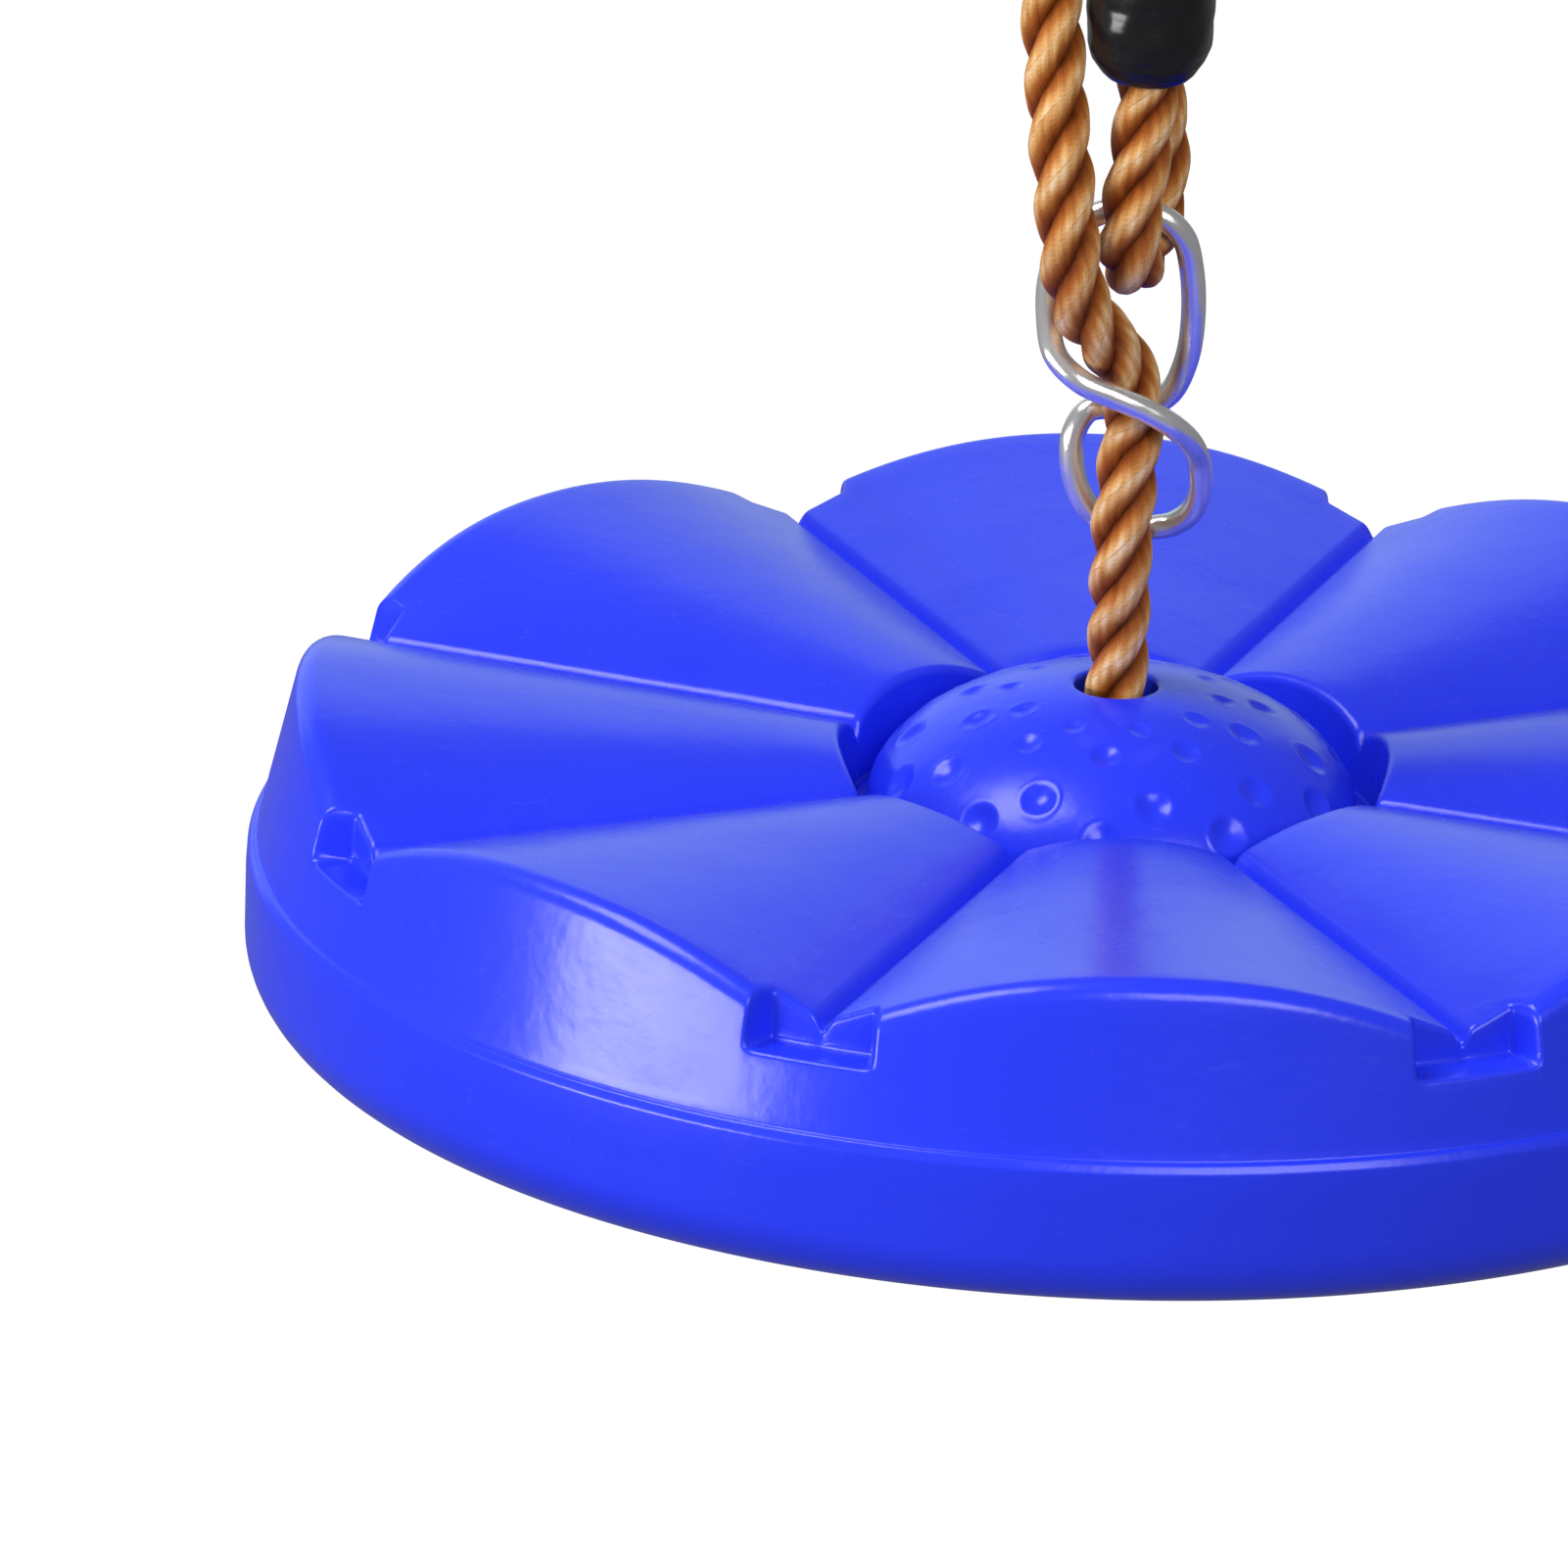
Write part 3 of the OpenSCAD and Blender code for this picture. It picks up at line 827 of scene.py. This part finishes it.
def swept_tube(name, path, radii, sides):
    """A round tube along a path, with closed ends, and coordinates along and round it for its material."""
    _, side, up = carried_frames(path)
    a = np.linspace(0, 2 * math.pi, sides, endpoint=False)
    r = np.broadcast_to(np.asarray(radii, float).reshape(len(path), -1), (len(path), sides))
    sideways = (r * np.cos(a))[:, :, None] * side[:, None]
    upwards = (r * np.sin(a))[:, :, None] * up[:, None]
    points = path[:, None] + sideways + upwards
    s = np.concatenate([[0], np.cumsum(np.linalg.norm(np.diff(path, axis=0), axis=1))])
    along = np.repeat(s[:, None], sides, 1)
    around = np.repeat(a[None] * 3, len(path), 0)
    fibre = np.stack([along, around, np.zeros_like(along)], -1).reshape(-1, 3)
    faces = capped_faces(len(path), sides)
    return make_mesh(name, placed(points.reshape(-1, 3)), faces, {"fibre": fibre})


def make_wire():
    """The figure-eight wire that the rope is threaded through, with rounded ends."""
    path, s, _ = smooth_path(WIRE_ROUTE, 0.5)
    end = np.minimum(s, s[-1] - s)
    radii = WIRE_R - 0.35 * np.clip(1 - end / 0.9, 0, 1) ** 2
    wire = swept_tube("figure_eight_wire", path, radii, 32)
    finish_piece(wire, WIRE, "bright_wire", "adjuster_wire")
    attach(wire, "adjuster")


def stadium(radius, apart, count):
    """A closed outline with two round ends along Y."""
    a = np.linspace(0, 2 * math.pi, count, endpoint=False)
    return np.stack([radius * np.cos(a), radius * np.sin(a) + apart * np.tanh(3.0 * np.sin(a))], -1)


def make_sleeve():
    """The shrunk sleeve over the ferrule, drawn in round the rope at both ends."""
    # Each ring's height, its ends' radius, and how far they stand apart along Y.
    rings = [
        (161.5, 5.4, 5.0), (159.0, 5.45, 5.0), (158.2, 5.7, 4.9), (158.0, 6.2, 4.7), (158.3, 7.0, 4.3),
        (159.2, 8.1, 3.8), (160.8, 9.2, 3.3), (162.8, 9.9, 2.95), (165.0, 10.15, 2.8), (168.5, 10.2, 2.8),
        (175.0, 10.1, 2.8), (182.0, 10.2, 2.8), (185.5, 10.15, 2.8), (187.6, 9.8, 2.95), (189.4, 9.0, 3.3),
        (190.8, 7.9, 3.8), (191.7, 6.8, 4.4), (192.0, 6.1, 4.7), (191.8, 5.7, 4.9), (191.0, 5.45, 5.0),
        (188.5, 5.4, 5.0),
    ]
    middle_x, count = 1.2, 96
    fine = []
    for a, b in zip(rings[:-1], rings[1:]):
        for t in np.linspace(0, 1, 5, endpoint=False):
            fine.append([x * (1 - t) + y * t for x, y in zip(a, b)])
    fine.append(rings[-1])
    points = []
    a = np.linspace(0, 2 * math.pi, count, endpoint=False)
    for z, r, apart in fine:
        wave = 0.10 * np.sin(3 * a + z * 0.35) + 0.07 * np.sin(7 * a - z * 0.8)
        wave += 0.09 * np.sin(z * 0.9 + 2 * a)
        outline = stadium(r, apart, count) * (1 + (wave if r > 8 else wave * 0.3) / 10)[:, None]
        points.append(np.column_stack([outline[:, 0] + middle_x, outline[:, 1], np.full(count, z)]))
    sleeve = make_mesh("shrunk_sleeve", placed(np.vstack(points)), loop_faces(len(fine), count))
    finish_piece(sleeve, SLEEVE, "black_sleeve", "crimp_sleeve")
    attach(sleeve, "adjuster")


def make_thimble():
    """The channel that the rope lies in: a rounded section swept round the eye and down both legs."""
    channel_r = 5.15
    turns = np.linspace(math.radians(96), math.radians(264), 25)
    arc = [(GROOVE_R + channel_r * math.cos(a), channel_r * math.sin(a)) for a in turns]
    section = rounded_line([
        ((11.0, 7.0), 1.3, 6, 4), ((19.0, 7.0), 0.7, 6, 0), ((19.0, 5.2), 0.5, 4, 0),
        *[(p, 0, 1, 0) for p in arc],
        ((19.0, -5.2), 0.5, 4, 0), ((19.0, -7.0), 0.7, 6, 4), ((11.0, -7.0), 1.3, 6, 6),
    ])
    leg, opened = 12.0, 20.0
    # Each step's place along a leg, from its end to the eye, and how much its section is drawn in there.
    leg_steps = [
        (leg, 0.86), (leg - 0.25, 0.95), (leg - 0.7, 0.985), (leg - 1.4, 1), (8, 1), (5, 1), (2.5, 1),
    ]
    first, last = math.radians(-opened), math.radians(180 + opened)
    steps = [(first, np.array([math.sin(first), -math.cos(first)]) * d, k) for d, k in leg_steps]
    steps += [(a, np.zeros(2), 1) for a in np.radians(np.linspace(-opened, 180 + opened, 90))]
    steps += [(last, np.array([-math.sin(last), math.cos(last)]) * d, k) for d, k in leg_steps[::-1]]
    middle = np.array([15.0, 0.0])
    points = []
    for angle, offset, k in steps:
        sec = (section - middle) * k + middle
        x = sec[:, 0] * math.cos(angle) + offset[0]
        z = sec[:, 0] * math.sin(angle) + offset[1] + THIMBLE_H
        points.append(np.column_stack([x, sec[:, 1], z]))
    faces = capped_faces(len(steps), len(section))
    thimble = make_mesh("nylon_thimble", placed(np.vstack(points)), faces)
    finish_piece(thimble, NYLON, "black_nylon", "thimble")
    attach(thimble, "thimble")


def make_ring():
    """The welded hanging ring, with the bead of its butt weld."""
    major, minor, sides, steps = 27.5, 3.5, 40, 220
    ring_h = DROP - major + minor
    weld_turn = math.radians(205)
    points = []
    for k in range(steps):
        a = 2 * math.pi * k / steps
        away = abs((a - weld_turn + math.pi) % (2 * math.pi) - math.pi) * major
        swell = 0.42 * math.exp(-((away / 1.5) ** 2)) - 0.10 * math.exp(-(((away - 3.2) / 1.0) ** 2))
        for b in np.linspace(0, 2 * math.pi, sides, endpoint=False):
            grain = swell * (1 + 0.35 * math.sin(5 * b + 2.2 * away))
            r = minor + grain if swell > 0.02 else minor + swell
            out = major + r * math.cos(b)
            points.append((r * math.sin(b), out * math.cos(a), ring_h + out * math.sin(a)))
    ring = make_mesh("welded_ring", placed(points), loop_faces(steps, sides))
    finish_piece(ring, ZINC, "zinc_steel", "hanging_ring")
    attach(ring, "ring")


make_wire()
make_sleeve()
make_thimble()
make_ring()

set_material(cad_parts["crimp_ferrule"], ALLOY)


# ---------------------------------------------------------------- floor and light

def make_floor():
    """The plain pale floor, far below the seat, which lends the seat no light or reflection."""
    size, floor_z = 20.0, -2.9
    corners = [(x * size, y * size, floor_z) for x, y in ((-1, -1), (1, -1), (1, 1), (-1, 1))]
    mesh = bpy.data.meshes.new("studio_floor")
    mesh.from_pydata(corners, [], [(0, 1, 2, 3)])
    floor = bpy.data.objects.new("studio_floor", mesh)
    floor.visible_glossy = floor.visible_diffuse = False
    bpy.context.scene.collection.objects.link(floor)
    mesh.materials.append(floor_material())


def area_light(name, position, target, width, height, power, colour=(1, 1, 1)):
    """A soft rectangular light that faces the target."""
    data = bpy.data.lights.new(name, "AREA")
    data.shape, data.size, data.size_y = "RECTANGLE", width, height
    data.energy, data.color = power, colour
    light = bpy.data.objects.new(name, data)
    light.location = position
    light.rotation_euler = (Vector(target) - Vector(position)).to_track_quat("-Z", "Y").to_euler()
    bpy.context.scene.collection.objects.link(light)


def make_lights():
    """Soft studio light: one large box above, a low window, a wide pale wall behind and a fill in front."""
    world = bpy.data.worlds.new("studio")
    bpy.context.scene.world = world
    world.use_nodes = True
    back = next(n for n in world.node_tree.nodes if n.type == "BACKGROUND")
    back.inputs["Color"].default_value = (1, 1, 1, 1)
    back.inputs["Strength"].default_value = 0.20
    seat = (0, 0, -0.28)
    area_light("key_softbox", (-1.0, -0.2, 1.5), seat, 1.0, 1.0, 28)
    area_light("window", (-1.30, -0.80, -0.19), seat, 0.80, 0.26, 13)
    area_light("back_wall", (-0.5, 3.2, 0.55), seat, 4.2, 2.6, 21, (0.66, 0.94, 1.0))
    area_light("front_fill", (0.8, -2.0, 1.1), seat, 1.4, 1.0, 30)


make_floor()
make_lights()
bpy.context.scene.view_settings.view_transform = "Standard"
bpy.context.scene.view_settings.look = "None"
